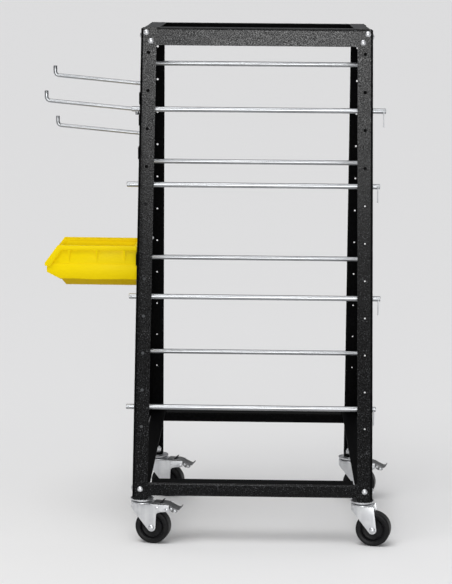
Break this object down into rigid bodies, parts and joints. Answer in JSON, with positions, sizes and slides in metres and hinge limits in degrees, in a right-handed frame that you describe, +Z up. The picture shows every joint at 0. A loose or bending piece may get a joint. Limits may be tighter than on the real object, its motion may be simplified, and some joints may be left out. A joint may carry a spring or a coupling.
{
  "type": "clamp rack",
  "caption": "Mobile workshop rack of angle-iron legs on swivel casters, with loose cross rods to hang clamps on, side hooks and a hanging small-parts bin.",
  "frame": {"origin": "on the floor, under the middle of the leg frame", "axes": "+Z up, front at -Y, hooks and bin at -X"},
  "size_m": [0.8232, 0.4738, 1.185],
  "materials": {
    "frame_paint": "black textured powder coat",
    "rod_steel": "bright drawn steel",
    "zinc": "zinc plated",
    "tyre_rubber": "matt black",
    "hub_plastic": "matt black",
    "pedal_steel": "dark satin",
    "bin_plastic": "yellow, satin gloss"
  },
  "bodies": {
    "frame": {"bin_bar": "frame_paint", "caster_stem_back_left": "zinc", "caster_stem_back_right": "zinc", "caster_stem_front_left": "zinc", "caster_stem_front_right": "zinc", "foot_rail_back": "frame_paint", "foot_rail_front": "frame_paint", "foot_rail_left": "frame_paint", "foot_rail_right": "frame_paint", "hook_bar_lower": "frame_paint", "hook_bar_middle": "frame_paint", "hook_bar_upper": "frame_paint", "leg_back_left": "frame_paint", "leg_back_right": "frame_paint", "leg_front_left": "frame_paint", "leg_front_right": "frame_paint", "top_rail_back": "frame_paint", "top_rail_front": "frame_paint", "top_rail_left": "frame_paint", "top_rail_right": "frame_paint"},
    "rod_front_1": {"rod_front_1": "rod_steel", "rod_pin_front_1": "zinc"},
    "rod_front_2": {"rod_front_2": "rod_steel", "rod_pin_front_2": "zinc"},
    "rod_front_3": {"rod_front_3": "rod_steel", "rod_pin_front_3": "zinc"},
    "rod_front_4": {"rod_front_4": "rod_steel", "rod_pin_front_4": "zinc"},
    "rod_back_1": {"rod_back_1": "rod_steel", "rod_pin_back_1": "zinc"},
    "rod_back_2": {"rod_back_2": "rod_steel", "rod_pin_back_2": "zinc"},
    "rod_back_3": {"rod_back_3": "rod_steel", "rod_pin_back_3": "zinc"},
    "rod_back_4": {"rod_back_4": "rod_steel", "rod_pin_back_4": "zinc"},
    "swivel_front_left": {"caster_fork_front_left": "zinc", "caster_axle_front_left": "zinc"},
    "wheel_front_left": {"caster_hub_front_left": "hub_plastic", "caster_tyre_front_left": "tyre_rubber"},
    "brake_front_left": {"brake_pedal_front_left": "pedal_steel"},
    "swivel_front_right": {"caster_fork_front_right": "zinc", "caster_axle_front_right": "zinc"},
    "wheel_front_right": {"caster_hub_front_right": "hub_plastic", "caster_tyre_front_right": "tyre_rubber"},
    "swivel_back_left": {"caster_fork_back_left": "zinc", "caster_axle_back_left": "zinc"},
    "wheel_back_left": {"caster_hub_back_left": "hub_plastic", "caster_tyre_back_left": "tyre_rubber"},
    "brake_back_left": {"brake_pedal_back_left": "pedal_steel"},
    "swivel_back_right": {"caster_fork_back_right": "zinc", "caster_axle_back_right": "zinc"},
    "wheel_back_right": {"caster_hub_back_right": "hub_plastic", "caster_tyre_back_right": "tyre_rubber"},
    "brake_back_right": {"brake_pedal_back_right": "pedal_steel"},
    "hook_upper": {"hook_upper": "zinc"},
    "hook_middle": {"hook_middle": "zinc"},
    "hook_lower": {"hook_lower": "zinc"},
    "bin": {"bin": "bin_plastic"}
  },
  "joints": [
    {"name": "rod_front_1_slide", "type": "slide", "parent": "frame", "child": "rod_front_1", "axis": [1, 0, 0], "range_m": [-0.0224, 0.0118]},
    {"name": "rod_front_2_slide", "type": "slide", "parent": "frame", "child": "rod_front_2", "axis": [1, 0, 0], "range_m": [-0.0092, 0.0196]},
    {"name": "rod_front_3_slide", "type": "slide", "parent": "frame", "child": "rod_front_3", "axis": [1, 0, 0], "range_m": [-0.0107, 0.01]},
    {"name": "rod_front_4_slide", "type": "slide", "parent": "frame", "child": "rod_front_4", "axis": [1, 0, 0], "range_m": [-0.0006, 0.012]},
    {"name": "rod_back_1_slide", "type": "slide", "parent": "frame", "child": "rod_back_1", "axis": [1, 0, 0], "range_m": [-0.0113, 0.0058]},
    {"name": "rod_back_2_slide", "type": "slide", "parent": "frame", "child": "rod_back_2", "axis": [1, 0, 0], "range_m": [-0.0051, 0.0106]},
    {"name": "rod_back_3_slide", "type": "slide", "parent": "frame", "child": "rod_back_3", "axis": [1, 0, 0], "range_m": [-0.0094, 0.005]},
    {"name": "rod_back_4_slide", "type": "slide", "parent": "frame", "child": "rod_back_4", "axis": [1, 0, 0], "range_m": [-0.0043, 0.0087]},
    {"name": "swivel_front_left", "type": "hinge", "parent": "frame", "child": "swivel_front_left", "pos_m": [-0.255, -0.206, 0.1], "axis": [0, 0, 1], "continuous": true},
    {"name": "roll_front_left", "type": "hinge", "parent": "swivel_front_left", "child": "wheel_front_left", "pos_m": [-0.22859, -0.21161, 0.04], "axis": [0.2079, 0.9781, 0], "continuous": true},
    {"name": "brake_front_left", "type": "hinge", "parent": "swivel_front_left", "child": "brake_front_left", "pos_m": [-0.20414, -0.21681, 0.088], "axis": [0.2079, 0.9781, 0], "range_deg": [0, 10]},
    {"name": "swivel_front_right", "type": "hinge", "parent": "frame", "child": "swivel_front_right", "pos_m": [0.255, -0.206, 0.1], "axis": [0, 0, 1], "continuous": true},
    {"name": "roll_front_right", "type": "hinge", "parent": "swivel_front_right", "child": "wheel_front_right", "pos_m": [0.28141, -0.21161, 0.04], "axis": [0.2079, 0.9781, 0], "continuous": true},
    {"name": "swivel_back_left", "type": "hinge", "parent": "frame", "child": "swivel_back_left", "pos_m": [-0.241, 0.206, 0.1], "axis": [0, 0, 1], "continuous": true},
    {"name": "roll_back_left", "type": "hinge", "parent": "swivel_back_left", "child": "wheel_back_left", "pos_m": [-0.21459, 0.20039, 0.04], "axis": [0.2079, 0.9781, 0], "continuous": true},
    {"name": "brake_back_left", "type": "hinge", "parent": "swivel_back_left", "child": "brake_back_left", "pos_m": [-0.19014, 0.19519, 0.088], "axis": [0.2079, 0.9781, 0], "range_deg": [0, 10]},
    {"name": "swivel_back_right", "type": "hinge", "parent": "frame", "child": "swivel_back_right", "pos_m": [0.241, 0.206, 0.1], "axis": [0, 0, 1], "continuous": true},
    {"name": "roll_back_right", "type": "hinge", "parent": "swivel_back_right", "child": "wheel_back_right", "pos_m": [0.26741, 0.20039, 0.04], "axis": [0.2079, 0.9781, 0], "continuous": true},
    {"name": "brake_back_right", "type": "hinge", "parent": "swivel_back_right", "child": "brake_back_right", "pos_m": [0.29186, 0.19519, 0.088], "axis": [0.2079, 0.9781, 0], "range_deg": [0, 10]},
    {"name": "hook_upper_slide", "type": "slide", "parent": "frame", "child": "hook_upper", "axis": [0.0057, 1, 0], "range_m": [-0.186, 0.1]},
    {"name": "hook_middle_slide", "type": "slide", "parent": "frame", "child": "hook_middle", "axis": [0.0074, 1, 0], "range_m": [-0.01, 0.28]},
    {"name": "hook_lower_slide", "type": "slide", "parent": "frame", "child": "hook_lower", "axis": [0.0101, 0.9999, 0], "range_m": [-0.248, 0.048]},
    {"name": "bin_lift", "type": "slide", "parent": "frame", "child": "bin", "axis": [0, 0, 1], "range_m": [0, 0.03]}
  ]
}
